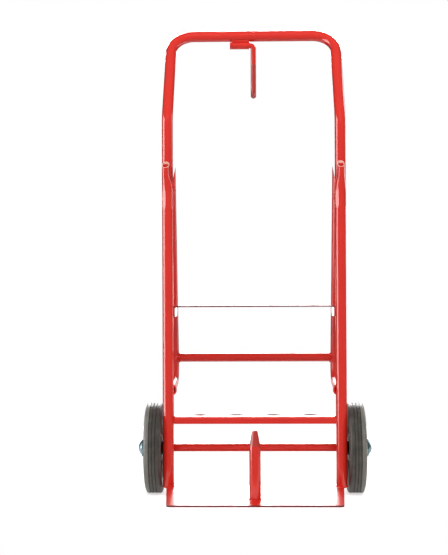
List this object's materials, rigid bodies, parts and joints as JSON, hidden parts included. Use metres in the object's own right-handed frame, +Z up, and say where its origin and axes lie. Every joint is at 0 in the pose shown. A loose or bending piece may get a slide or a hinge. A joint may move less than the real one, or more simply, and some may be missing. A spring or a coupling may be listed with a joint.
{
  "type": "breaker trolley",
  "caption": "Tube-frame hand truck for a road breaker, with a sloping toe plate and spigot, chisel plates with round holes, a bent-back handle with a swinging hook, and rubber-tyred wheels.",
  "frame": {"origin": "middle of the bounding box, at floor level", "axes": "+Z up, +Y to the rear, where the handle leans, -Y to the front edge of the toe plate, X along the axle"},
  "size_m": [0.5292, 0.359, 1.0794],
  "materials": {
    "red_powder_coat": "gloss red powder coat on steel",
    "black_rubber": "matt moulded rubber with a grooved tread",
    "zinc_plate": "bright zinc plate with a faint blue tint",
    "spring_steel": "blackened spring steel",
    "nylon": "moulded nylon"
  },
  "bodies": {
    "frame": {"handle_loop": "red_powder_coat", "rear_cross_tube": "red_powder_coat", "upper_chisel_plate": "red_powder_coat", "lower_chisel_shelf": "red_powder_coat", "toe_plate": "red_powder_coat", "spigot": "red_powder_coat", "hook_sleeve": "red_powder_coat", "axle": "red_powder_coat", "upright_left": "red_powder_coat", "rear_bow_left": "red_powder_coat", "axle_bracket_left": "red_powder_coat", "inner_washer_left": "zinc_plate", "outer_washer_left": "zinc_plate", "axle_cap_left": "zinc_plate", "axle_clip_left": "spring_steel", "upright_right": "red_powder_coat", "rear_bow_right": "red_powder_coat", "axle_bracket_right": "red_powder_coat", "inner_washer_right": "zinc_plate", "outer_washer_right": "zinc_plate", "axle_cap_right": "zinc_plate", "axle_clip_right": "spring_steel"},
    "wheel_left": {"tyre_left": "black_rubber", "hub_left": "zinc_plate", "outer_rim_half_left": "zinc_plate", "inner_rim_half_left": "zinc_plate", "outer_bush_left": "nylon", "inner_bush_left": "nylon"},
    "wheel_right": {"tyre_right": "black_rubber", "hub_right": "zinc_plate", "outer_rim_half_right": "zinc_plate", "inner_rim_half_right": "zinc_plate", "outer_bush_right": "nylon", "inner_bush_right": "nylon"},
    "hook": {"swing_hook": "red_powder_coat", "hook_washer": "red_powder_coat"}
  },
  "joints": [
    {"name": "wheel_left_spin", "type": "hinge", "parent": "frame", "child": "wheel_left", "pos_m": [-0.227, 0.01747, 0.10121], "axis": [1, 0, 0], "continuous": true},
    {"name": "wheel_right_spin", "type": "hinge", "parent": "frame", "child": "wheel_right", "pos_m": [0.227, 0.01747, 0.10121], "axis": [1, 0, 0], "continuous": true},
    {"name": "hook_swing", "type": "hinge", "parent": "frame", "child": "hook", "pos_m": [-0.031, 0.15346, 1.0452], "axis": [1, 0, 0], "range_deg": [-124, 102]}
  ]
}
